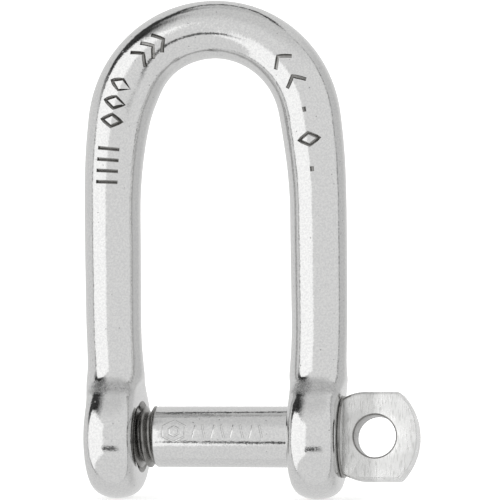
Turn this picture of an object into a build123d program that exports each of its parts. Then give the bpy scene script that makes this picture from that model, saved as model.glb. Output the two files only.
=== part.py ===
from build123d import *
import os
from math import cos, pi, radians, sin, sqrt

# Long D shackle, 5 mm size: a forged stainless body and its screw pin.
# Frame: the origin is on the pin's axis, midway between the two eyes. +X runs along the pin to its
# head, +Z up the limbs to the crown, and Y is the thickness. Millimetres.

# body
INSIDE_WIDTH = 12.46        # between the flat inner faces of the eyes
EYE_THICKNESS = 4.1
EYE_DIAMETER = 10.0
EYE_RIM_DEPTH = 1.6         # radial; across, the rim is half an ellipse as wide as the eye
CROWN_HEIGHT = 33.1         # from the pin's axis to the crown bar's centre line
CROWN_TUCK = 0.58           # how much tighter the crown's arc is than half the limbs' spacing
CROWN_ARC_HALF = 80.0       # degrees each side of the top, before the gentler shoulder arc
CROWN_BAR = 4.72            # bar diameters
SHOULDER_BAR = 4.98
LIMB_BAR = 4.6
NECK_BAR = 4.5
LIMB_SHARE = 0.17           # of the bar's length, where it reaches LIMB_BAR from the neck
SHOULDER_SHARE = 0.34       # and where it reaches SHOULDER_BAR
NECK_SPREAD = 2.5           # radius of the hollow where the neck meets the eye's rim
NECK_TUCK = 0.12            # how far the neck's foot lies below the eye's flat faces
NECK_LEVELS = 5
NECK_POINTS = 16            # round each of the neck's sections

# pin
SHANK_DIAMETER = 4.95
THREAD_DIAMETER = 5.0       # M5 x 0.8, over the crests
THREAD_PITCH = 0.8
THREAD_DEPTH = 0.46
THREAD_EXPOSED = 1.2        # thread that stands clear of the tapped eye when the pin is home
THREAD_ROOT_SHARE = 0.84    # of the pitch, the ridge's width at its foot
THREAD_CREST_SHARE = 0.2    # of the pitch, the flat on its crest
THREAD_SINK = 0.05          # how far the ridge's foot runs into the core
THREAD_RELIEF = 0.4         # from the last turn's middle to the shank's shoulder
SHOULDER_CHAMFER = 0.2
TIP_SHY = 0.15              # how far the tip stops inside the tapped eye's outer face
TIP_CHAMFER = 0.5
COLLAR_DIAMETER = 6.6
COLLAR_LENGTH = 0.22
COLLAR_ROUND = 0.1
TAB_THICKNESS = 2.9
TAB_HEIGHT = 7.1
TAB_LENGTH = 6.15           # from the eye's face to the tip of the end arc
TAB_END_BULGE = 1.45        # how far the end arc stands past the straight edges
TAB_ROOT_DROP = 0.35        # how much lower each edge is at the root
TAB_ROOT_RUN = 1.8          # length over which the root widens to the full height
TAB_CORNER_ROUND = 0.45
TAB_EDGE_ROUND = 0.28
TAB_TURN = 8.0              # degrees the tab has turned past the shackle's plane when it is tight
KEY_HOLE_DIAMETER = 3.4
KEY_HOLE_PLACE = 2.77       # from the eye's face to the hole's centre
KEY_HOLE_ROUND = 0.12

# fits
CLEAR_BORE_GAP = 0.25       # radial, round the shank
TAPPED_BORE_GAP = 0.06      # radial, over the thread crests
COLLAR_SEAT_GAP = 0.02      # between the collar and the eye's face
COUNTERSINK_EXTRA = 0.3     # radial, at the tapped bore's mouths
CLEAR_BORE_ROUND = 0.25
BORE_OVERRUN = 1.0          # how much longer each bore's cutter is than its eye
JOIN_TOLERANCE = 0.002
SAME_PLACE = 0.001          # two positions nearer than this are one

EYE_CENTRE = (INSIDE_WIDTH + EYE_THICKNESS) / 2
LIMB_CENTRE = (INSIDE_WIDTH + LIMB_BAR) / 2
CROWN_RADIUS = LIMB_CENTRE - CROWN_TUCK
EYE_RADIUS = EYE_DIAMETER / 2
HEAD_FACE = INSIDE_WIDTH / 2 + EYE_THICKNESS
PIN_SEAT = HEAD_FACE + COLLAR_SEAT_GAP
PIN_TIP = -HEAD_FACE + TIP_SHY
THREAD_START = -INSIDE_WIDTH / 2 + THREAD_EXPOSED

# the hollow each side of the neck is an arc tangent to the limb and to the eye's round rim
HOLLOW_Y = NECK_BAR / 2 + NECK_SPREAD
NECK_TOP = sqrt((EYE_RADIUS + NECK_SPREAD) ** 2 - HOLLOW_Y ** 2)
NECK_FOOT = NECK_TOP * EYE_RADIUS / (EYE_RADIUS + NECK_SPREAD)


def limb_line():
    """The bar's centre line over the crown, from one neck's top to the other's."""
    limb = LIMB_CENTRE
    turn = radians(CROWN_ARC_HALF)
    arc_centre = CROWN_HEIGHT - CROWN_RADIUS
    shoulder_radius = (limb - CROWN_RADIUS * sin(turn)) / (1 - sin(turn))
    tangent_z = arc_centre - (shoulder_radius - CROWN_RADIUS) * cos(turn)
    crown_end = (CROWN_RADIUS * sin(turn), arc_centre + CROWN_RADIUS * cos(turn))
    half_turn = radians((90 + CROWN_ARC_HALF) / 2)
    shoulder_x = limb - shoulder_radius
    shoulder_mid = (shoulder_x + shoulder_radius * sin(half_turn),
                    tangent_z + shoulder_radius * cos(half_turn))
    spots = [(limb, NECK_TOP), (limb, tangent_z), shoulder_mid, crown_end]
    right = [Vector(x, 0, z) for x, z in spots]
    left = [Vector(-x, 0, z) for x, z in spots]
    top = Vector(0, 0, CROWN_HEIGHT)
    edges = [
        Edge.make_line(left[0], left[1]),
        Edge.make_three_point_arc(left[1], left[2], left[3]),
        Edge.make_three_point_arc(left[3], top, right[3]),
        Edge.make_three_point_arc(right[3], right[2], right[1]),
        Edge.make_line(right[1], right[0]),
    ]
    return Wire(edges)


def crown_bar():
    """The bar itself: thickest at the shoulders, where a forged bow carries its bending."""
    line = limb_line()
    up = [(0, NECK_BAR), (LIMB_SHARE, LIMB_BAR), (SHOULDER_SHARE, SHOULDER_BAR)]
    down = [(1 - share, bar) for share, bar in reversed(up)]
    stations = up + [(1 / 2, CROWN_BAR)] + down
    rings = [Plane(origin=line @ t, x_dir=(0, 1, 0), z_dir=line % t) * Circle(bar / 2) for t, bar in stations]
    return sweep(sections=rings, path=line, multisection=True)


def oval(x, z, half_x, half_y):
    """A level section of the neck, always started from the same side so that a loft can't twist."""
    turns = [2 * pi * i / NECK_POINTS for i in range(NECK_POINTS)]
    rim = Spline(*[(x + half_x * cos(t), half_y * sin(t)) for t in turns], periodic=True)
    return Plane.XY.offset(z) * make_face(rim)


def neck(side):
    """The spread from the round limb to the eye, hollowed each side by NECK_SPREAD."""
    sections = []
    bar = NECK_BAR / 2
    for i in range(NECK_LEVELS + 1):
        share = i / NECK_LEVELS
        ease = share * share * (3 - 2 * share)
        z = NECK_TOP + (NECK_FOOT - NECK_TOP) * share
        half_y = HOLLOW_Y - sqrt(NECK_SPREAD ** 2 - (z - NECK_TOP) ** 2)
        x = LIMB_CENTRE + (EYE_CENTRE - LIMB_CENTRE) * ease
        sections.append(oval(side * x, z, bar + (EYE_THICKNESS / 2 - NECK_TUCK - bar) * ease, half_y))
    inside = NECK_FOOT - EYE_RIM_DEPTH / 2
    sections.append(oval(side * EYE_CENTRE, inside, EYE_THICKNESS / 2 - NECK_TUCK, half_y))
    return loft(sections)


def eye(side):
    """One round eye about the pin's axis, its faces flat and its rim well rounded."""
    half = EYE_THICKNESS / 2
    flat = EYE_RADIUS - EYE_RIM_DEPTH
    rim = Edge.make_ellipse(half, EYE_RIM_DEPTH, Plane((0, flat, 0)), start_angle=0, end_angle=180)
    corners = [(-half, flat), (-half, 0), (half, 0), (half, flat)]
    faces = [Edge.make_line(start, end) for start, end in zip(corners, corners[1:])]
    return Pos(side * EYE_CENTRE, 0, 0) * revolve(make_face([rim, *faces]), Axis.X)


def clear_bore():
    """The plain hole on the head's side, its mouths rounded."""
    radius = SHANK_DIAMETER / 2 + CLEAR_BORE_GAP
    cutter = Cylinder(radius, EYE_THICKNESS + BORE_OVERRUN)
    for end in (-1, 1):
        mouth = Cone(radius, radius + CLEAR_BORE_ROUND, CLEAR_BORE_ROUND)
        flip = 0 if end > 0 else 180
        cutter += Pos(0, 0, end * (EYE_THICKNESS - CLEAR_BORE_ROUND) / 2) * Rot(flip, 0, 0) * mouth
    return Pos(EYE_CENTRE, 0, 0) * Rot(0, 90, 0) * cutter


def tapped_bore():
    """The tapped hole, open to the thread's crests, countersunk at both mouths."""
    radius = THREAD_DIAMETER / 2 + TAPPED_BORE_GAP
    cutter = Cylinder(radius, EYE_THICKNESS + BORE_OVERRUN)
    for end in (-1, 1):
        mouth = Cone(radius, radius + COUNTERSINK_EXTRA, COUNTERSINK_EXTRA)
        flip = 0 if end > 0 else 180
        cutter += Pos(0, 0, end * (EYE_THICKNESS - COUNTERSINK_EXTRA) / 2) * Rot(flip, 0, 0) * mouth
    return Pos(-EYE_CENTRE, 0, 0) * Rot(0, 90, 0) * cutter


def shackle_body():
    """One forging. The fuse is slightly fuzzy so that the bar's and the necks' end rings become one edge."""
    ends = [shape(side) for side in (-1, 1) for shape in (neck, eye)]
    body = crown_bar().fuse(*ends, tol=JOIN_TOLERANCE)
    return body - clear_bore() - tapped_bore()


def shank():
    """The plain bearing length, from the collar to the shoulder above the thread."""
    length = PIN_SEAT - THREAD_START
    rod = Cylinder(SHANK_DIAMETER / 2, length, align=(Align.CENTER, Align.CENTER, Align.MIN))
    rod = chamfer(rod.edges().sort_by(Axis.Z)[0], SHOULDER_CHAMFER)
    return Pos(THREAD_START, 0, 0) * Rot(0, 90, 0) * rod


def screw():
    """The right-hand M5 thread: a core with one helical ridge."""
    core_radius = THREAD_DIAMETER / 2 - THREAD_DEPTH
    length = THREAD_START - PIN_TIP
    core = Cylinder(core_radius, length, align=(Align.CENTER, Align.CENTER, Align.MIN))
    core = chamfer(core.edges().sort_by(Axis.Z)[0], TIP_CHAMFER)
    root = THREAD_PITCH * THREAD_ROOT_SHARE / 2
    crest = THREAD_PITCH * THREAD_CREST_SHARE / 2
    outline = Polyline((-THREAD_SINK, -root), (THREAD_DEPTH, -crest), (THREAD_DEPTH, crest),
                       (-THREAD_SINK, root), close=True)
    path = Helix(THREAD_PITCH, length - TIP_CHAMFER - THREAD_RELIEF, core_radius)
    start = Plane(origin=path @ 0, x_dir=(1, 0, 0), z_dir=path % 0)
    ridge = sweep(start * make_face(outline), path=path, is_frenet=True)
    return Pos(PIN_TIP, 0, 0) * Rot(0, 90, 0) * (core + Pos(0, 0, TIP_CHAMFER) * ridge)


def collar():
    disc = Cylinder(COLLAR_DIAMETER / 2, COLLAR_LENGTH, align=(Align.CENTER, Align.CENTER, Align.MIN))
    disc = fillet(disc.edges().sort_by(Axis.Z)[-1], COLLAR_ROUND)
    return Pos(PIN_SEAT, 0, 0) * Rot(0, 90, 0) * disc


def tab():
    """The flat finger grip, with a hole for a key or seizing wire."""
    root = PIN_SEAT + COLLAR_LENGTH / 2
    full = PIN_SEAT + COLLAR_LENGTH / 2 + TAB_ROOT_RUN
    tip = PIN_SEAT + TAB_LENGTH
    half = TAB_HEIGHT / 2
    corner = tip - TAB_END_BULGE
    low_half = half - TAB_ROOT_DROP
    root_radius = (TAB_ROOT_RUN ** 2 + TAB_ROOT_DROP ** 2) / (2 * TAB_ROOT_DROP)
    middle = TAB_ROOT_RUN / 2
    middle_drop = root_radius - sqrt(root_radius ** 2 - middle ** 2)
    edges = []
    for up in (-1, 1):
        edges.append(Edge.make_three_point_arc(
            (root, up * low_half), (full - middle, up * (half - middle_drop)), (full, up * half)))
        edges.append(Edge.make_line((full, up * half), (corner, up * half)))
    edges.append(Edge.make_three_point_arc((corner, -half), (tip, 0), (corner, half)))
    edges.append(Edge.make_line((root, -low_half), (root, low_half)))
    face = make_face(edges)
    plate = extrude(face, TAB_THICKNESS / 2, both=True)
    across = plate.edges().filter_by(Axis.Z).sort_by(Axis.X)[-2:]
    plate = fillet(across, TAB_CORNER_ROUND)
    rims = [e for e in plate.edges() if abs(abs(e.center().Z) - TAB_THICKNESS / 2) < SAME_PLACE]
    rims = [e for e in rims if e.center().X > root + SAME_PLACE]
    plate = fillet(rims, TAB_EDGE_ROUND)
    hole = Cylinder(KEY_HOLE_DIAMETER / 2, TAB_THICKNESS * 2)
    plate -= Pos(PIN_SEAT + KEY_HOLE_PLACE, 0, 0) * hole
    mouths = [e for e in plate.edges().filter_by(GeomType.CIRCLE)
              if abs(e.radius - KEY_HOLE_DIAMETER / 2) < SAME_PLACE]
    plate = fillet(mouths, KEY_HOLE_ROUND)
    return Rot(90 - TAB_TURN, 0, 0) * plate


def screw_pin():
    return shank() + screw() + collar() + tab()


os.makedirs("parts", exist_ok=True)
for name, piece in (("shackle_body", shackle_body()), ("screw_pin", screw_pin())):
    export_step(piece, f"parts/{name}.step")
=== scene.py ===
# A tumbled stainless long D shackle with its screw pin, on a pale studio sweep. Sizes are in mm and
# become metres as each piece is put in the scene.

from math import atan2, cos, exp, hypot, pi, radians, sin, sqrt

import bmesh
import bpy
from mathutils import Matrix, Vector


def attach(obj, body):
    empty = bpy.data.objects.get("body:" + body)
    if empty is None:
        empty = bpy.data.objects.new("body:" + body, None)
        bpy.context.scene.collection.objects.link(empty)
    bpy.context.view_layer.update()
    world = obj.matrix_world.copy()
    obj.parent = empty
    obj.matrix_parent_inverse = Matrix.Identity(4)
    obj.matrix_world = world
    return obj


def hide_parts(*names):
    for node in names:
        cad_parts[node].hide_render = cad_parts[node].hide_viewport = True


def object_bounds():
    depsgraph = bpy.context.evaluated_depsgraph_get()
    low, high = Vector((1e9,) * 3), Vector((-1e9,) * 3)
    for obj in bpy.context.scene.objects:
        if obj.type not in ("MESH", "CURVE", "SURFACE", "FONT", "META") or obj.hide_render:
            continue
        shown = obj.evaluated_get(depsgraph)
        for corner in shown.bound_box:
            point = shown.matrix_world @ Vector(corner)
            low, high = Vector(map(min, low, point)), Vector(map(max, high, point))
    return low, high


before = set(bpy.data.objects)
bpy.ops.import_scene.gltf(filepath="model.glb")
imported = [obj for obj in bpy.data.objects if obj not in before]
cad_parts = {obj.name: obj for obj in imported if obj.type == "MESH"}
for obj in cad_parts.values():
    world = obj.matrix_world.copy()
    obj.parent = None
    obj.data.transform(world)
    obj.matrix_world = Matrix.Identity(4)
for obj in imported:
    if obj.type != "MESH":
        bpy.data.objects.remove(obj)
cad_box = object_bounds()


# ---------------------------------------------------------------------------------------------
# Shackle body: bow, limbs and eyes. One bar of 316 stainless, drop forged with its two round
# eyes, drilled and tapped across them, then tumbled bright. The bow is thickest at its shoulders.

MM = 0.001
EYE_CENTRE = 8.28
EYE_HALF = 2.05             # half the eye's thickness
EYE_RADIUS = 5.0
EYE_RIM_DEPTH = 1.6
EYE_STEPS = 16
NECK_FROM_RADIUS = 4.2      # the neck grows out of the rim outside this, within this angle of upright
NECK_HALF_ANGLE = radians(45)
LIMB_CENTRE = 8.53
CROWN_HEIGHT = 33.1
CROWN_RADIUS = 7.95
CROWN_ARC_HALF = radians(80)
LIMB_BAR, NECK_BAR, SHOULDER_BAR, CROWN_BAR = 4.6, 4.5, 4.98, 4.72
BAR_STEPS = 18
NECK_RINGS = ((4.7, 8.36, 4.7, 5.56), (5.5, 8.38, 4.62, 5.0),      # height, centre, across, deep
              (6.5, 8.43, 4.54, 4.68), (7.6, 8.48, 4.5, 4.52))
SHOULDER_RADIUS = (LIMB_CENTRE - CROWN_RADIUS * sin(CROWN_ARC_HALF)) / (1 - sin(CROWN_ARC_HALF))
LIMB_TOP = CROWN_HEIGHT - CROWN_RADIUS - (SHOULDER_RADIUS - CROWN_RADIUS) * cos(CROWN_ARC_HALF)
SHOULDER_TOP = LIMB_TOP + SHOULDER_RADIUS * (pi / 2 - CROWN_ARC_HALF)
LEFT_HEAVIER = 0.15         # how much thicker the forging is inside its left shoulder, at most
HEAVIEST_AT, HEAVIER_SPREAD = 28.5, 2.5
CROWN_TRAVEL = SHOULDER_TOP + CROWN_RADIUS * CROWN_ARC_HALF     # from the pin to the crown's top
CLEAR_BORE = 2.725          # radii of the two holes
TAPPED_BORE = 2.56
SMOOTHING = 3


def ring_swell(steps):
    """How far outside its smooth round a cage ring stands."""
    return 3 / (2 + cos(2 * pi / steps))


def eye_section(mouth):
    """The eye's cut through one side, as (place across, radius), from bore to rim and back: the
    faces are flat and the rim is nearly half an ellipse, a little fuller at its corners."""
    flat_edge = EYE_RADIUS - EYE_RIM_DEPTH
    half = [(EYE_HALF - depth, radius) for depth, radius in mouth] + [(EYE_HALF, flat_edge)]
    step = 27
    swell = ring_swell(360 / step)
    fullness = 0.87
    for turn in (step, 2 * step, 3 * step):
        half.append((EYE_HALF * swell * cos(radians(turn)) ** fullness,
                     flat_edge + EYE_RIM_DEPTH * swell * sin(radians(turn)) ** fullness))
    return half + [(-x, r) for x, r in reversed(half)]


def add_eye(mesh, side, mouth):
    """Spins one eye about the pin's axis and opens its rim at the top, where the neck grows out."""
    swell = ring_swell(EYE_STEPS)
    section = [mesh.verts.new((side * (EYE_CENTRE + x), 0, r * swell)) for x, r in eye_section(mouth)]
    edges = [mesh.edges.new(pair) for pair in zip(section, section[1:] + section[:1])]
    bmesh.ops.spin(mesh, geom=section + edges, cent=(0, 0, 0), axis=(1, 0, 0), angle=2 * pi,
                   steps=EYE_STEPS, use_merge=True)
    top = []
    for face in mesh.faces:
        spot = face.calc_center_median()
        on_rim = spot.x * side > 0 and hypot(spot.y, spot.z) > NECK_FROM_RADIUS
        if on_rim and abs(atan2(spot.y, spot.z)) < NECK_HALF_ANGLE:
            top.append(face)
    bmesh.ops.delete(mesh, geom=top, context="FACES")
    return [e for e in mesh.edges if e.is_boundary and e.verts[0].co.x * side > EYE_RADIUS]


def add_ring(mesh, spot, outward, half_out, half_y):
    """One ring of the bar, square to its line."""
    side = Vector((0, 1, 0))
    along = side.cross(outward)
    turn = Matrix((side * half_y, outward * half_out, along)).transposed().to_4x4()
    place = Matrix.Translation(spot) @ turn
    made = bmesh.ops.create_circle(mesh, segments=BAR_STEPS, radius=1, matrix=place)
    return list({e for v in made["verts"] for e in v.link_edges})


def bar_place(side, travel):
    """Centre and outward direction a distance up the bar from the pin: limb, shoulder, then crown."""
    if travel <= LIMB_TOP:
        return Vector((side * LIMB_CENTRE, 0, travel)), Vector((side, 0, 0))
    if travel <= SHOULDER_TOP:
        lean = (travel - LIMB_TOP) / SHOULDER_RADIUS
        centre = Vector((side * (LIMB_CENTRE - SHOULDER_RADIUS), 0, LIMB_TOP))
        reach = SHOULDER_RADIUS
    else:
        lean = pi / 2 - (CROWN_TRAVEL - travel) / CROWN_RADIUS
        centre = Vector((0, 0, CROWN_HEIGHT - CROWN_RADIUS))
        reach = CROWN_RADIUS
    outward = Vector((side * cos(lean), 0, sin(lean)))
    return centre + outward * reach, outward


def bar_radius(travel):
    """The bar's half thickness: it swells from the neck to the shoulder and eases off at the crown."""
    across = (NECK_BAR, LIMB_BAR, LIMB_BAR, SHOULDER_BAR, CROWN_BAR)
    at = (8.2, 15.0, 19.5, 26.2, CROWN_TRAVEL)
    for start, end, thin, thick in zip(at, at[1:], across, across[1:]):
        if travel < end:
            share = max(0, (travel - start) / (end - start))
            return (thin + (thick - thin) * share) / 2
    return across[-1] / 2


def bar_stations(side):
    """The cage's rings up one limb and over to the crown's top: centre, outward, half sizes."""
    swell = ring_swell(BAR_STEPS)
    for z, x, across, deep in NECK_RINGS:
        yield Vector((side * x, 0, z)), Vector((side, 0, 0)), across / 2 * swell, deep / 2 * swell
    travels = [9.0, 10.8, 13.0, 15.5, 17.5, 19.5, 21.5, 23.5, 25.2]
    crown_from = 26.6
    steps = 8
    travels += [crown_from + (CROWN_TRAVEL - crown_from) * i / steps for i in range(steps + 1)]
    bend_swell = 3 / (2 + cos((CROWN_TRAVEL - crown_from) / CROWN_RADIUS / steps))
    for travel in travels:
        spot, outward = bar_place(side, travel)
        if travel >= crown_from:
            spot += outward * CROWN_RADIUS * (bend_swell - 1)
        heavier = LEFT_HEAVIER * exp(-((travel - HEAVIEST_AT) / HEAVIER_SPREAD) ** 2) if side < 0 else 0
        half = (bar_radius(travel) + heavier) * swell
        yield spot - outward * heavier, outward, half, half


def stand_proud(mesh, side):
    """Lets the limb's outer side run down a little way over the eye's flat face."""
    for vert in mesh.verts:
        out = vert.co.x * side - EYE_CENTRE
        if 1.5 < out < EYE_HALF + 0.4 and 3.3 < vert.co.z < 5.2:
            near = max(0, 1 - (vert.co.y / 2.9) ** 2)
            vert.co.x += side * near * (0.15 if vert.co.z < 3.8 else 0.5 if vert.co.z < 4.5 else 0.12)


def forge_body():
    mesh = bmesh.new()
    clear = [(EYE_HALF, CLEAR_BORE), (0.75, CLEAR_BORE), (0.2, CLEAR_BORE), (0, CLEAR_BORE + 0.2), (0, 3.1)]
    tapped = [(EYE_HALF, TAPPED_BORE), (0.5, TAPPED_BORE), (0.36, TAPPED_BORE), (0.32, TAPPED_BORE + 0.02),
              (0.03, TAPPED_BORE + 0.31), (0, TAPPED_BORE + 0.34), (0, TAPPED_BORE + 0.4)]
    for side, mouth in ((1, clear), (-1, tapped)):
        rim = add_eye(mesh, side, mouth)
        for spot, outward, half_out, half_y in bar_stations(side):
            ring = add_ring(mesh, spot, outward, half_out, half_y)
            bmesh.ops.bridge_loops(mesh, edges=rim + ring)
            rim = ring
        stand_proud(mesh, side)
    bmesh.ops.remove_doubles(mesh, verts=mesh.verts, dist=0.001)
    bmesh.ops.recalc_face_normals(mesh, faces=mesh.faces)
    return mesh


def put_in_scene(mesh, name):
    """Turns millimetres to metres and makes the object, at the origin."""
    bmesh.ops.scale(mesh, vec=(MM, MM, MM), verts=mesh.verts)
    data = bpy.data.meshes.new(name)
    mesh.to_mesh(data)
    mesh.free()
    thing = bpy.data.objects.new(name, data)
    bpy.context.scene.collection.objects.link(thing)
    return thing


def settle(thing):
    """Applies an object's modifiers to its mesh."""
    bpy.context.view_layer.update()
    seen = thing.evaluated_get(bpy.context.evaluated_depsgraph_get())
    thing.data = bpy.data.meshes.new_from_object(seen)
    thing.modifiers.clear()


def smooth_shade(thing, sharp_over):
    thing.data.shade_smooth()
    thing.data.set_sharp_from_angle(angle=radians(sharp_over))


def linear(hex_colour):
    """An sRGB hex colour as linear RGBA."""
    parts = [int(hex_colour[i:i + 2], 16) / 255 for i in (1, 3, 5)]
    return (*[c / 12.92 if c <= 0.04045 else ((c + 0.055) / 1.055) ** 2.4 for c in parts], 1)


def node(tree, kind, settings=None, links=None):
    """Adds a node; settings are its own properties or its inputs' values, links its inputs' sources."""
    made = tree.nodes.new(kind)
    for key, value in (settings or {}).items():
        if isinstance(key, str) and hasattr(made, key):
            setattr(made, key, value)
        else:
            made.inputs[key].default_value = value
    for key, source in (links or {}).items():
        tree.links.new(source, made.inputs[key])
    return made


def add_pits(tree, where, spacing, pit_size, share):
    """Height of scattered shallow pits, one in some cells of a grid of the given spacing in mm."""
    cells = node(tree, "ShaderNodeTexVoronoi", {"Scale": 1 / (spacing * MM)}, {"Vector": where})
    hollow = node(tree, "ShaderNodeMapRange", {"From Min": 0.0, "From Max": pit_size / spacing},
                  {"Value": cells.outputs["Distance"]})
    kept = node(tree, "ShaderNodeSeparateColor", None, {"Color": cells.outputs["Color"]})
    filled = node(tree, "ShaderNodeMath", {"operation": "GREATER_THAN", 1: share}, {0: kept.outputs["Red"]})
    return node(tree, "ShaderNodeMath", {"operation": "MAXIMUM"},
                {0: hollow.outputs["Result"], 1: filled.outputs[0]}).outputs[0]


def tumbled_stainless():
    """Forged 316 stainless, tumbled bright: mirror-like, its edges of light broken by orange peel,
    fine grain, scattered pits, and a scaly band where the limbs leave the eyes."""
    material = bpy.data.materials.new("tumbled_stainless")
    material.use_nodes = True
    tree = material.node_tree
    shader = tree.nodes["Principled BSDF"]
    shader.inputs["Metallic"].default_value = 1
    where = node(tree, "ShaderNodeTexCoord").outputs["Object"]
    peel = node(tree, "ShaderNodeTexNoise", {"Scale": 1 / (0.9 * MM), "Detail": 3.0}, {"Vector": where})
    grain = node(tree, "ShaderNodeTexNoise", {"Scale": 1 / (0.16 * MM), "Detail": 3.0}, {"Vector": where})
    pits = add_pits(tree, where, 0.55, 0.07, 0.3)
    height = node(tree, "ShaderNodeSeparateXYZ", None, {0: where})
    band_low = node(tree, "ShaderNodeMapRange", {"From Min": 3.5 * MM, "From Max": 3.9 * MM},
                    {"Value": height.outputs["Z"]})
    band_high = node(tree, "ShaderNodeMapRange", {"From Min": 5.0 * MM, "From Max": 4.5 * MM},
                     {"Value": height.outputs["Z"]})
    depth = node(tree, "ShaderNodeMath", {"operation": "ABSOLUTE"}, {0: height.outputs["Y"]})
    band_front = node(tree, "ShaderNodeMapRange", {"From Min": 2.2 * MM, "From Max": 2.7 * MM},
                      {"Value": depth.outputs[0]})
    band = node(tree, "ShaderNodeMath", {"operation": "MULTIPLY"},
                {0: node(tree, "ShaderNodeMath", {"operation": "MULTIPLY"},
                         {0: band_low.outputs[0], 1: band_high.outputs[0]}).outputs[0], 1: band_front.outputs[0]})
    scale = node(tree, "ShaderNodeTexNoise", {"Scale": 1 / (0.3 * MM), "Detail": 4.0, "Roughness": 0.7},
                 {"Vector": where})
    scaly = node(tree, "ShaderNodeMath", {"operation": "MULTIPLY"}, {0: scale.outputs["Fac"], 1: band.outputs[0]})
    rough = node(tree, "ShaderNodeMapRange", {"From Min": 0.35, "From Max": 0.7, "To Min": 0.07, "To Max": 0.14},
                 {"Value": grain.outputs["Fac"]})
    speckle = node(tree, "ShaderNodeMapRange", {"From Min": 0.38, "From Max": 0.62}, {"Value": grain.outputs["Fac"]})
    tone = node(tree, "ShaderNodeMix", {"data_type": "RGBA", 6: linear("#D0D0D0"), 7: linear("#DBDBDA")},
                {0: speckle.outputs["Result"]})
    in_pit = node(tree, "ShaderNodeMath", {"operation": "SUBTRACT", 0: 1.0}, {1: pits})
    dull = node(tree, "ShaderNodeMix", {"data_type": "RGBA", "blend_type": "MULTIPLY", 7: linear("#8A8A8A")},
                {0: in_pit.outputs[0], 6: tone.outputs[2]})
    scale_tone = node(tree, "ShaderNodeMix", {"data_type": "RGBA", "blend_type": "MULTIPLY", 7: linear("#C4C4C4")},
                      {0: scaly.outputs[0], 6: dull.outputs[2]})
    tree.links.new(scale_tone.outputs[2], shader.inputs["Base Color"])
    tree.links.new(rough.outputs["Result"], shader.inputs["Roughness"])
    wave = node(tree, "ShaderNodeBump", {"Strength": 1.0, "Distance": 0.014 * MM}, {"Height": peel.outputs["Fac"]})
    fine = node(tree, "ShaderNodeBump", {"Strength": 1.0, "Distance": 0.006 * MM},
                {"Height": grain.outputs["Fac"], "Normal": wave.outputs["Normal"]})
    holes = node(tree, "ShaderNodeBump", {"Strength": 1.0, "Distance": 0.02 * MM},
                 {"Height": pits, "Normal": fine.outputs["Normal"]})
    flash = node(tree, "ShaderNodeBump", {"Strength": 1.0, "Distance": 0.06 * MM},
                 {"Height": scaly.outputs[0], "Normal": holes.outputs["Normal"]})
    tree.links.new(flash.outputs["Normal"], shader.inputs["Normal"])
    return material


def machined_and_shaded_stainless():
    """Cut thread, countersink and drilled hole: the tumbling never reached them, so the tool's rings
    leave them duller. Its grey is painted darker, painted shade for these recesses; it also covers the
    struck marks, the collar's rim and the tab's root edges as painted shade."""
    material = bpy.data.materials.new("machined_and_shaded_stainless")
    material.use_nodes = True
    tree = material.node_tree
    shader = tree.nodes["Principled BSDF"]
    shader.inputs["Metallic"].default_value = 1
    where = node(tree, "ShaderNodeTexCoord").outputs["Object"]
    blotches = node(tree, "ShaderNodeTexNoise", {"Scale": 1 / (0.5 * MM), "Detail": 3.0}, {"Vector": where})
    # painted shade: these dark greys stand in for shade in the recesses and crevices this material covers
    tone = node(tree, "ShaderNodeMix", {"data_type": "RGBA", 6: linear("#A8A7A5"), 7: linear("#6E6D6B")},
                {0: blotches.outputs["Fac"]})
    rough = node(tree, "ShaderNodeMapRange", {"To Min": 0.16, "To Max": 0.34}, {"Value": blotches.outputs["Fac"]})
    rings = node(tree, "ShaderNodeTexWave", {"wave_type": "BANDS", "bands_direction": "X", "Scale": 1 / (0.4 * MM),
                                             "Distortion": 0.6}, {"Vector": where})
    cut = node(tree, "ShaderNodeBump", {"Strength": 0.6, "Distance": 0.004 * MM}, {"Height": rings.outputs["Fac"]})
    tree.links.new(tone.outputs[2], shader.inputs["Base Color"])
    tree.links.new(rough.outputs["Result"], shader.inputs["Roughness"])
    tree.links.new(cut.outputs["Normal"], shader.inputs["Normal"])
    return material


# Struck marks, cut into the front of the bar: plain bars, lozenges, chevrons and dots, as (kind,
# place up the bar in mm). They stand where a maker strikes its size and its sign.
STRIKE_RADIUS = 0.17
STRIKE_DEPTH = 0.15
LEFT_MARKS = (("bar", 20.8), ("bar", 21.7), ("bar", 22.6), ("bar", 23.5), ("lozenge", 25.8), ("lozenge", 27.3),
              ("lozenge", 28.8), ("chevron", 31.6), ("chevron", 32.6), ("chevron", 33.6))
RIGHT_MARKS = (("dot", 21.6), ("lozenge", 24.0), ("dot", 26.4), ("chevron", 28.9), ("chevron", 30.9))
MARK_SHAPES = {     # corners as (up the bar, across it) in mm, and whether the stroke closes
    "bar": (((0, -0.9), (0, 0.9)), False),
    "dot": (((-0.2, 0), (0.2, 0)), False),
    "lozenge": (((-0.5, 0), (0, -0.85), (0.5, 0), (0, 0.85)), True),
    "chevron": (((-0.35, -0.85), (0.35, 0), (-0.35, 0.85)), False),
}


def add_stroke(curves, spots, closed):
    """One round-ended stroke through spots."""
    stroke = curves.splines.new("POLY")
    stroke.points.add(len(spots) - 1)
    for point, spot in zip(stroke.points, spots):
        point.co = (*spot, 1)
    stroke.use_cyclic_u = closed


def along(corners, closed, pieces=4):
    """Corners with points between them, so that a stroke can follow a round surface."""
    ends = corners[1:] + corners[:1] if closed else corners[1:]
    spots = []
    for (u0, v0), (u1, v1) in zip(corners, ends):
        spots += [(u0 + (u1 - u0) * i / pieces, v0 + (v1 - v0) * i / pieces) for i in range(pieces)]
    return spots if closed else spots + [corners[-1]]


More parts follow.
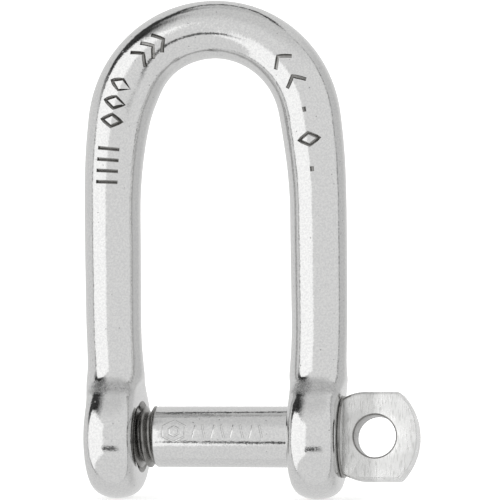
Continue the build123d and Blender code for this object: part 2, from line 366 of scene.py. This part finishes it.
def strike_marks(side, marks, curves):
    for kind, travel in marks:
        corners, closed = MARK_SHAPES[kind]
        spots = []
        for up, out in along(corners, closed):
            centre, outward = bar_place(side, travel + up)
            radius = bar_radius(travel + up) + STRIKE_RADIUS - STRIKE_DEPTH
            spots.append(centre + outward * out + Vector((0, -sqrt(radius ** 2 - out ** 2), 0)))
        add_stroke(curves, spots, closed)


def cut_strokes(thing, curves, radius):
    """Cuts round-bottomed strokes of one radius into a mesh object, all in metres by then."""
    curves.dimensions = "3D"
    curves.bevel_depth = radius
    curves.bevel_resolution = 1
    curves.use_fill_caps = True
    line = bpy.data.objects.new("strokes", curves)
    bpy.context.scene.collection.objects.link(line)
    bpy.context.view_layer.update()
    solid = bpy.data.meshes.new_from_object(line.evaluated_get(bpy.context.evaluated_depsgraph_get()))
    bpy.data.objects.remove(line)
    solid.transform(Matrix.Scale(MM, 4))
    # the strokes take the object's last material; on the body that is the darker one, painted shade in the grooves
    for face in solid.polygons:
        face.material_index = len(thing.data.materials) - 1
    tool = bpy.data.objects.new("strokes", solid)
    bpy.context.scene.collection.objects.link(tool)
    cut = thing.modifiers.new("cut", "BOOLEAN")
    cut.operation = "DIFFERENCE"
    cut.object = tool
    cut.solver = "EXACT"
    cut.use_self = True
    settle(thing)
    bpy.data.objects.remove(tool)


body = put_in_scene(forge_body(), "forged_shackle_body")
body.modifiers.new("smooth", "SUBSURF").levels = SMOOTHING
body.modifiers["smooth"].render_levels = SMOOTHING
settle(body)
steel = tumbled_stainless()
shaded_machined_steel = machined_and_shaded_stainless()
body.data.materials.append(steel)
body.data.materials.append(shaded_machined_steel)
marks = bpy.data.curves.new("struck_marks", "CURVE")
strike_marks(-1, LEFT_MARKS, marks)
strike_marks(1, RIGHT_MARKS, marks)
cut_strokes(body, marks, STRIKE_RADIUS)
smooth_shade(body, 32)
# the tapped bore and countersink take the darker material: machined finish, and painted shade for the hollow round the
# thread
for face in body.data.polygons:
    spot = face.center / MM
    if spot.x < 0 and hypot(spot.y, spot.z) < TAPPED_BORE + 0.36 and abs(spot.x + EYE_CENTRE) < EYE_HALF:
        face.material_index = 1
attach(body, "shackle_body")
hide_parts("shackle_body")


# ---------------------------------------------------------------------------------------------
# Screw pin: one forging, its shank turned and its end threaded M5, with a thin collar and a flat
# tab to turn it by. The tab's faces are ground satin, and the shank is as bright as the body; the
# thread, the collar's rim, the key hole and the tab's root edges are painted darker, as shade.

SHANK_RADIUS = 2.475
THREAD_RADIUS = 2.5
THREAD_DEPTH = 0.46
PITCH = 0.8
THREAD_START = -5.03
THREAD_FRONT_CREST = -5.7   # where a crest crosses the front
PIN_TIP = -10.18
PIN_SEAT = 10.35
COLLAR_RADIUS = 3.3
COLLAR_LENGTH = 0.22
COLLAR_ROUND = 0.1
TAB_HALF = 1.45
TAB_HALF_HEIGHT = 3.55
TAB_ROOT_HALF = 3.0
TAB_ROOT_RUN = 1.8
TAB_TIP = 16.5
TAB_BULGE = 1.45
TAB_CORNER_ROUND = 0.45
TAB_TURN = radians(8)
KEY_HOLE_X = 13.12
KEY_HOLE_RADIUS = 1.7
RIM_ROUND, HOLE_ROUND = 0.28, 0.12
ROLLED_RADIUS = 0.1
ROLLED_DEPTH = 0.075


def turn_section(mesh, section, steps=96):
    """Spins a section of (x, radius) points about the pin's axis."""
    verts = [mesh.verts.new((x, 0, r)) for x, r in section]
    edges = [mesh.edges.new(pair) for pair in zip(verts, verts[1:])]
    bmesh.ops.spin(mesh, geom=verts + edges, cent=(0, 0, 0), axis=(1, 0, 0), angle=2 * pi,
                   steps=steps, use_merge=True)
    bmesh.ops.remove_doubles(mesh, verts=mesh.verts, dist=0.0005)


def shank_and_collar():
    mesh = bmesh.new()
    chamfer = 0.2
    section = [(THREAD_START, 0), (THREAD_START, SHANK_RADIUS - chamfer), (THREAD_START + 0.03, SHANK_RADIUS - 0.14),
               (THREAD_START + chamfer - 0.03, SHANK_RADIUS - 0.015), (THREAD_START + chamfer + 0.05, SHANK_RADIUS),
               (PIN_SEAT, SHANK_RADIUS), (PIN_SEAT, COLLAR_RADIUS - 0.04), (PIN_SEAT + 0.04, COLLAR_RADIUS)]
    round_centre = (PIN_SEAT + COLLAR_LENGTH - COLLAR_ROUND, COLLAR_RADIUS - COLLAR_ROUND)
    for turn in range(0, 91, 18):
        section.append((round_centre[0] + COLLAR_ROUND * sin(radians(turn)),
                        round_centre[1] + COLLAR_ROUND * cos(radians(turn))))
    section.append((PIN_SEAT + COLLAR_LENGTH, 0))
    turn_section(mesh, section)
    bmesh.ops.recalc_face_normals(mesh, faces=mesh.faces)
    return mesh


def thread():
    """A right-hand M5 thread, spun with a step of pitch, then cut square at both ends."""
    mesh = bmesh.new()
    root = THREAD_RADIUS - THREAD_DEPTH
    steps = 64
    turns = 9
    start = THREAD_FRONT_CREST - PITCH * (turns - 1 - 0.25)
    flank = PITCH * 0.33
    crest = PITCH * 0.16
    section = [(0, root), (PITCH * 0.09, root), (PITCH * 0.09 + flank, THREAD_RADIUS - 0.02),
               (PITCH * 0.09 + flank + 0.02, THREAD_RADIUS), (PITCH * 0.09 + flank + crest - 0.02, THREAD_RADIUS),
               (PITCH * 0.09 + flank + crest, THREAD_RADIUS - 0.02), (PITCH * 0.91, root), (PITCH, root)]
    verts = [mesh.verts.new((start + x, 0, r)) for x, r in section]
    edges = [mesh.edges.new(pair) for pair in zip(verts, verts[1:])]
    bmesh.ops.spin(mesh, geom=verts + edges, cent=(0, 0, 0), axis=(1, 0, 0), dvec=(PITCH / steps, 0, 0),
                   angle=2 * pi * turns, steps=steps * turns)
    bmesh.ops.remove_doubles(mesh, verts=mesh.verts, dist=0.001)
    for cut, facing in ((PIN_TIP, -1), (THREAD_START + 0.05, 1)):
        geom = mesh.verts[:] + mesh.edges[:] + mesh.faces[:]
        made = bmesh.ops.bisect_plane(mesh, geom=geom, plane_co=(cut, 0, 0), plane_no=(facing, 0, 0),
                                      clear_outer=True, dist=0.0001)
        rim = [e for e in made["geom_cut"] if isinstance(e, bmesh.types.BMEdge)]
        bmesh.ops.contextual_create(mesh, geom=rim)
    for vert in mesh.verts:
        radius = hypot(vert.co.y, vert.co.z)
        tip_room = THREAD_RADIUS - 0.55 + (vert.co.x - PIN_TIP)
        if radius > tip_room:
            vert.co.y *= tip_room / radius
            vert.co.z *= tip_room / radius
    bmesh.ops.recalc_face_normals(mesh, faces=mesh.faces)
    return mesh


def tab_outline():
    """Upper half of the tab's outline from the collar to the tip, as (x, height)."""
    root = PIN_SEAT + COLLAR_LENGTH / 2
    full = root + TAB_ROOT_RUN
    rise = TAB_HALF_HEIGHT - TAB_ROOT_HALF
    root_radius = (TAB_ROOT_RUN ** 2 + rise ** 2) / (2 * rise)
    points = []
    for i in range(9):
        x = root + TAB_ROOT_RUN * i / 8
        drop = root_radius - sqrt(root_radius ** 2 - (full - x) ** 2)
        points.append((x, TAB_HALF_HEIGHT - drop))
    end_radius = (TAB_HALF_HEIGHT ** 2 + TAB_BULGE ** 2) / (2 * TAB_BULGE)
    inner = end_radius - TAB_CORNER_ROUND
    centre_x = TAB_TIP - end_radius
    low = TAB_HALF_HEIGHT - TAB_CORNER_ROUND
    corner_x = centre_x + sqrt(inner ** 2 - low ** 2)
    last = atan2(corner_x - centre_x, low)
    for i in range(7):
        turn = last * i / 6
        points.append((corner_x + TAB_CORNER_ROUND * sin(turn), low + TAB_CORNER_ROUND * cos(turn)))
    for i in range(1, 13):
        turn = last + (pi / 2 - last) * i / 12
        points.append((centre_x + end_radius * sin(turn), end_radius * cos(turn)))
    return points


def tab():
    """The flat grip: a plate round its hole, every rim rounded, turned a little past upright."""
    mesh = bmesh.new()
    upper = tab_outline()
    outline = upper + [(x, -z) for x, z in reversed(upper[:-1])]
    verts = [mesh.verts.new((x, -TAB_HALF, z)) for x, z in outline]
    rim = [mesh.edges.new(pair) for pair in zip(verts, verts[1:] + verts[:1])]
    lie = Matrix.Translation((KEY_HOLE_X, -TAB_HALF, 0)) @ Matrix.Rotation(pi / 2, 4, "X")
    hole = bmesh.ops.create_circle(mesh, segments=len(outline), radius=KEY_HOLE_RADIUS, matrix=lie)
    hole_rim = list({e for v in hole["verts"] for e in v.link_edges})
    bmesh.ops.bridge_loops(mesh, edges=rim + hole_rim)
    raised = bmesh.ops.extrude_face_region(mesh, geom=mesh.faces[:], use_keep_orig=True)
    lifted = [v for v in raised["geom"] if isinstance(v, bmesh.types.BMVert)]
    bmesh.ops.translate(mesh, verts=lifted, vec=(0, 2 * TAB_HALF, 0))
    bmesh.ops.recalc_face_normals(mesh, faces=mesh.faces)
    outer, inner = [], []
    for edge in mesh.edges:
        flat = abs(abs(edge.verts[0].co.y) - TAB_HALF) < 1e-4 and abs(edge.verts[0].co.y - edge.verts[1].co.y) < 1e-4
        if not flat or edge.calc_face_angle(0) < 1:
            continue
        middle = (edge.verts[0].co + edge.verts[1].co) / 2
        near_hole = hypot(middle.x - KEY_HOLE_X, middle.z) < KEY_HOLE_RADIUS + 0.1
        (inner if near_hole else outer).append(edge)
    bmesh.ops.bevel(mesh, geom=outer, offset=RIM_ROUND, segments=4, affect="EDGES", profile=0.5, material=-1)
    inner = [e for e in mesh.edges if e.calc_face_angle(0) > 1
             and hypot((e.verts[0].co.x + e.verts[1].co.x) / 2 - KEY_HOLE_X,
                       (e.verts[0].co.z + e.verts[1].co.z) / 2) < KEY_HOLE_RADIUS + 0.1]
    bmesh.ops.bevel(mesh, geom=inner, offset=HOLE_ROUND, segments=3, affect="EDGES", profile=0.5, material=-1)
    bmesh.ops.rotate(mesh, verts=mesh.verts, cent=(0, 0, 0), matrix=Matrix.Rotation(-TAB_TURN, 3, "X"))
    return mesh


def pin_marks():
    """The row of faint marks rolled along the front of the shank: a six-sided sign, then slats."""
    curves = bpy.data.curves.new("rolled_marks", "CURVE")
    radius = SHANK_RADIUS + ROLLED_RADIUS - ROLLED_DEPTH
    shapes = [([(-3.1 + 1.05 * sin(pi / 3 * i), 0.62 + 0.85 * cos(pi / 3 * i)) for i in range(6)], True),
              ([(-3.1 + 0.45 * sin(pi / 3 * i), 0.62 + 0.4 * cos(pi / 3 * i)) for i in range(6)], True)]
    for i in range(8):
        x = -1.45 + 0.78 * i
        lean = 0.14 * (-1) ** i
        shapes.append(([(x - lean, 0.1), (x + lean, 1.15)], False))
    for corners, closed in shapes:
        spots = [Vector((x, -sqrt(radius ** 2 - z ** 2), z)) for x, z in along(corners, closed)]
        add_stroke(curves, spots, closed)
    return curves


def satin_stainless():
    """The tab's ground faces: short fine scratches running up and down, and a soft cloudy sheen. Past
    the key hole the faces are painted paler. The scratches are drawn coarser than grit."""
    material = bpy.data.materials.new("satin_stainless")
    material.use_nodes = True
    tree = material.node_tree
    shader = tree.nodes["Principled BSDF"]
    shader.inputs["Metallic"].default_value = 1
    where = node(tree, "ShaderNodeTexCoord").outputs["Object"]
    stretched = node(tree, "ShaderNodeMapping", {"Scale": (1 / (0.1 * MM), 1 / (0.1 * MM), 1 / (1.5 * MM))},
                     {"Vector": where})
    lines = node(tree, "ShaderNodeTexNoise", {"Scale": 1.0, "Detail": 3.0}, {"Vector": stretched.outputs["Vector"]})
    cloud = node(tree, "ShaderNodeTexNoise", {"Scale": 1 / (1.1 * MM), "Detail": 3.0}, {"Vector": where})
    grit = node(tree, "ShaderNodeTexNoise", {"Scale": 1 / (0.14 * MM), "Detail": 3.0}, {"Vector": where})
    along_tab = node(tree, "ShaderNodeSeparateXYZ", None, {0: where})
    # painted paler past the key hole
    painted_paler_end = node(tree, "ShaderNodeMapRange",
                  {"From Min": (KEY_HOLE_X - 0.3) * MM, "From Max": (KEY_HOLE_X + 0.3) * MM},
                  {"Value": along_tab.outputs["X"]})
    ground = node(tree, "ShaderNodeMix", {"data_type": "RGBA", 6: linear("#D6D6D5"), 7: linear("#F0F0EF")},
                  {0: painted_paler_end.outputs["Result"]})
    line_dark = node(tree, "ShaderNodeMapRange", {"From Min": 0.52, "From Max": 0.68, "To Min": 0.0, "To Max": 0.6},
                     {"Value": lines.outputs["Fac"]})
    scored = node(tree, "ShaderNodeMix", {"data_type": "RGBA", "blend_type": "MULTIPLY", 7: linear("#CDCDCC")},
                  {0: line_dark.outputs["Result"], 6: ground.outputs[2]})
    cloudy = node(tree, "ShaderNodeMapRange", {"From Min": 0.45, "From Max": 0.7, "To Min": 0.0, "To Max": 0.3},
                  {"Value": cloud.outputs["Fac"]})
    tone = node(tree, "ShaderNodeMix", {"data_type": "RGBA", "blend_type": "MULTIPLY", 7: linear("#DCDCDB")},
                {0: cloudy.outputs["Result"], 6: scored.outputs[2]})
    rough = node(tree, "ShaderNodeMapRange", {"From Min": 0.3, "From Max": 0.7, "To Min": 0.2, "To Max": 0.36},
                 {"Value": cloud.outputs["Fac"]})
    scratch = node(tree, "ShaderNodeBump", {"Strength": 1.0, "Distance": 0.014 * MM}, {"Height": lines.outputs["Fac"]})
    sand = node(tree, "ShaderNodeBump", {"Strength": 1.0, "Distance": 0.016 * MM},
                {"Height": grit.outputs["Fac"], "Normal": scratch.outputs["Normal"]})
    tree.links.new(tone.outputs[2], shader.inputs["Base Color"])
    tree.links.new(rough.outputs["Result"], shader.inputs["Roughness"])
    tree.links.new(sand.outputs["Normal"], shader.inputs["Normal"])
    return material


pin = put_in_scene(shank_and_collar(), "screw_pin_shank")
pin.data.materials.append(steel)
cut_strokes(pin, pin_marks(), ROLLED_RADIUS)
pin.data.materials.append(shaded_machined_steel)
smooth_shade(pin, 32)
# the collar's rim takes the darker material: painted shade for the groove between collar and eye
for face in pin.data.polygons:
    spot = face.center / MM
    if spot.x > PIN_SEAT - 0.1 and hypot(spot.y, spot.z) > COLLAR_RADIUS - 0.08:
        face.material_index = 1
screw = put_in_scene(thread(), "screw_pin_thread")
smooth_shade(screw, 32)
grip = put_in_scene(tab(), "screw_pin_tab")
smooth_shade(grip, 32)
screw.data.materials.append(shaded_machined_steel)
grip.data.materials.append(satin_stainless())
grip.data.materials.append(shaded_machined_steel)
# the key hole and the top and bottom edges near the tab's root take the darker material: painted shade in the hole and
# in the crevice by the collar
for face in grip.data.polygons:
    spot = face.center / MM
    drilled = hypot(spot.x - KEY_HOLE_X, spot.y * sin(TAB_TURN) + spot.z * cos(TAB_TURN)) < KEY_HOLE_RADIUS + 0.1
    root_edge_painted_shade = spot.x < KEY_HOLE_X - 1.9 and abs(face.normal.z) > 0.5
    if drilled or root_edge_painted_shade:
        face.material_index = 1
for piece in (pin, screw, grip):
    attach(piece, "screw_pin")
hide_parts("screw_pin")


# ---------------------------------------------------------------------------------------------
# Studio: a pale matt sweep, a white tent all round, and one tall soft box to the camera's left.

low = Vector(cad_box[0])
FLOOR_REACH = 0.6
FLOOR_RISE = 0.45


def sweep():
    """A floor that turns up behind the object in one wide bend."""
    mesh = bmesh.new()
    bend = 0.12
    back = 0.3
    line = [(-FLOOR_REACH, 0), (back, 0)]
    for i in range(1, 17):
        turn = pi / 2 * i / 16
        line.append((back + bend * sin(turn), bend * (1 - cos(turn))))
    line.append((back + bend, FLOOR_RISE))
    verts = [mesh.verts.new((-FLOOR_REACH, y, z)) for y, z in line]
    edges = [mesh.edges.new(pair) for pair in zip(verts, verts[1:])]
    raised = bmesh.ops.extrude_edge_only(mesh, edges=edges)
    moved = [v for v in raised["geom"] if isinstance(v, bmesh.types.BMVert)]
    bmesh.ops.translate(mesh, verts=moved, vec=(2 * FLOOR_REACH, 0, 0))
    bmesh.ops.translate(mesh, verts=mesh.verts, vec=(0, 0, low.z))
    bmesh.ops.recalc_face_normals(mesh, faces=mesh.faces)
    bmesh.ops.scale(mesh, vec=(1 / MM, 1 / MM, 1 / MM), verts=mesh.verts)
    return mesh


floor = put_in_scene(sweep(), "sweep")
floor.data.shade_smooth()
floor.visible_glossy = False
paper = bpy.data.materials.new("lit_white_paper")
paper.use_nodes = True
paper_shader = paper.node_tree.nodes["Principled BSDF"]
paper_shader.inputs["Base Color"].default_value = linear("#F4F4F3")
paper_shader.inputs["Roughness"].default_value = 0.9
paper_shader.inputs["Emission Color"].default_value = (1, 1, 1, 1)
paper_shader.inputs["Emission Strength"].default_value = 0.5
floor.data.materials.append(paper)

CAMERA_AZIMUTH = radians(10.56)
CAMERA_ROLL = radians(-0.6)
CAMERA_DISTANCE = 0.220
VIEW_WIDTH = 0.04065
AIM = Vector((2.83 * cos(CAMERA_AZIMUTH) * MM, 2.83 * sin(CAMERA_AZIMUTH) * MM, 15.16 * MM))

back = Vector((sin(CAMERA_AZIMUTH), -cos(CAMERA_AZIMUTH), 0))
lens = bpy.data.cameras.new("camera")
lens.sensor_width = 36
lens.lens = 36 * CAMERA_DISTANCE / VIEW_WIDTH
lens.clip_start = 0.005
camera = bpy.data.objects.new("camera", lens)
upright = Matrix.Rotation(pi / 2, 4, "X") @ Matrix.Rotation(CAMERA_ROLL, 4, "Z")
facing = Matrix.Rotation(CAMERA_AZIMUTH, 4, "Z") @ upright
camera.matrix_world = Matrix.Translation(AIM + back * CAMERA_DISTANCE) @ facing
bpy.context.scene.collection.objects.link(camera)
bpy.context.scene.camera = camera

world = bpy.data.worlds.new("light_tent")
bpy.context.scene.world = world
world.use_nodes = True
tent = world.node_tree
heading = node(tent, "ShaderNodeTexCoord").outputs["Generated"]


def maths(operation, a, b):
    """One sum in the tent; a and b are numbers or sockets."""
    values = {i: v for i, v in enumerate((a, b)) if not isinstance(v, bpy.types.NodeSocket)}
    sockets = {i: v for i, v in enumerate((a, b)) if isinstance(v, bpy.types.NodeSocket)}
    return node(tent, "ShaderNodeMath", {"operation": operation, **values}, sockets).outputs[0]


def ease(value, start, end, low_value=0.0, high_value=1.0):
    """A soft step between two angles in degrees."""
    ends = {"From Min": start, "From Max": end} if start < end else {"From Min": end, "From Max": start}
    outs = {"To Min": low_value, "To Max": high_value} if start < end else {"To Min": high_value, "To Max": low_value}
    settings = {"interpolation_type": "SMOOTHSTEP", **ends, **outs}
    return node(tent, "ShaderNodeMapRange", settings, {"Value": value}).outputs[0]


def between(value, start, end, soft):
    return maths("MULTIPLY", ease(value, start - soft, start + soft), ease(value, end + soft, end - soft))


def lay_over(under, mask, value):
    """Hangs a panel of one brightness over what is there."""
    return node(tent, "ShaderNodeMix", {"data_type": "FLOAT", 3: value}, {0: mask, 2: under}).outputs[0]


def masks(*parts):
    whole = parts[0]
    for part in parts[1:]:
        whole = maths("MULTIPLY", whole, part)
    return whole


# round: degrees round the tent from the camera's side, positive to its right; rise: degrees up
toward = node(tent, "ShaderNodeVectorMath", {"operation": "DOT_PRODUCT", 1: (back.x, back.y, 0)}, {0: heading})
across = node(tent, "ShaderNodeVectorMath", {"operation": "DOT_PRODUCT", 1: (-back.y, back.x, 0)}, {0: heading})
degree = 180 / pi
turned = maths("MULTIPLY", maths("ARCTAN2", across.outputs["Value"], toward.outputs["Value"]), degree)
height = node(tent, "ShaderNodeSeparateXYZ", None, {0: heading}).outputs["Z"]
rise = maths("MULTIPLY", maths("ARCSINE", height, 0.0), degree)
steep = maths("ABSOLUTE", rise, 0.0)
aside = maths("ABSOLUTE", turned, 0.0)
# the tall soft box widens upward and downward towards the left, and a dark gap opens above it
reach = maths("ADD", 17.0, maths("MULTIPLY", aside, 0.35))
over_box = maths("SUBTRACT", rise, maths("MINIMUM", reach, maths("SUBTRACT", 56.0, maths("MULTIPLY", aside, 0.25))))
outer_edge = maths("SUBTRACT", maths("MULTIPLY", aside, masks(ease(turned, 0, -1))), maths("MULTIPLY", rise, 0.5))

# walls, paler low down and duller overhead and behind
light = ease(rise, 30, 62, 0.93, 0.77)
light = lay_over(light, ease(rise, -22, -38), 0.9)
light = lay_over(light, ease(aside, 88, 96), 0.84)
light = lay_over(light, masks(ease(turned, 86, 92), ease(turned, 150, 120), ease(steep, 60, 30)), 0.7)
# behind, a dark slit where the roof meets the wall, and the roof itself
light = lay_over(light, masks(between(rise, 61, 67.5, 1.0), ease(aside, 90, 110)), 0.06)
light = lay_over(light, masks(ease(rise, 66, 72), ease(aside, 90, 110)), 0.66)
# the tent's seam on either side
light = lay_over(light, masks(between(aside, 86.5, 90.5, 1.5), ease(steep, 75, 45)), 0.3)
# the dark room through the gap over the soft box, and past its outer edge
gap = masks(ease(turned, -36, -74), ease(outer_edge, 92, 89), ease(over_box, -1, 3), ease(rise, 68, 48))
light = lay_over(light, gap, 0.03)
strip = masks(ease(turned, -85, -87), ease(outer_edge, 92, 89), ease(rise, 84, 60), ease(rise, 6, 30))
light = lay_over(light, strip, 0.05)
# the soft box, and the dark front edge of the table under it
box = masks(between(turned, -86, -26.5, 1.0), ease(over_box, 1, -1), ease(maths("ADD", rise, reach), -1, 1))
light = lay_over(light, box, 1.34)
table_edge = masks(between(rise, -22, -14.5, 1.0), ease(turned, -34, -27), ease(turned, 40, 0))
light = lay_over(light, table_edge, 0.12)
tent.links.new(light, tent.nodes["Background"].inputs["Color"])
bpy.context.scene.view_settings.view_transform = "Standard"
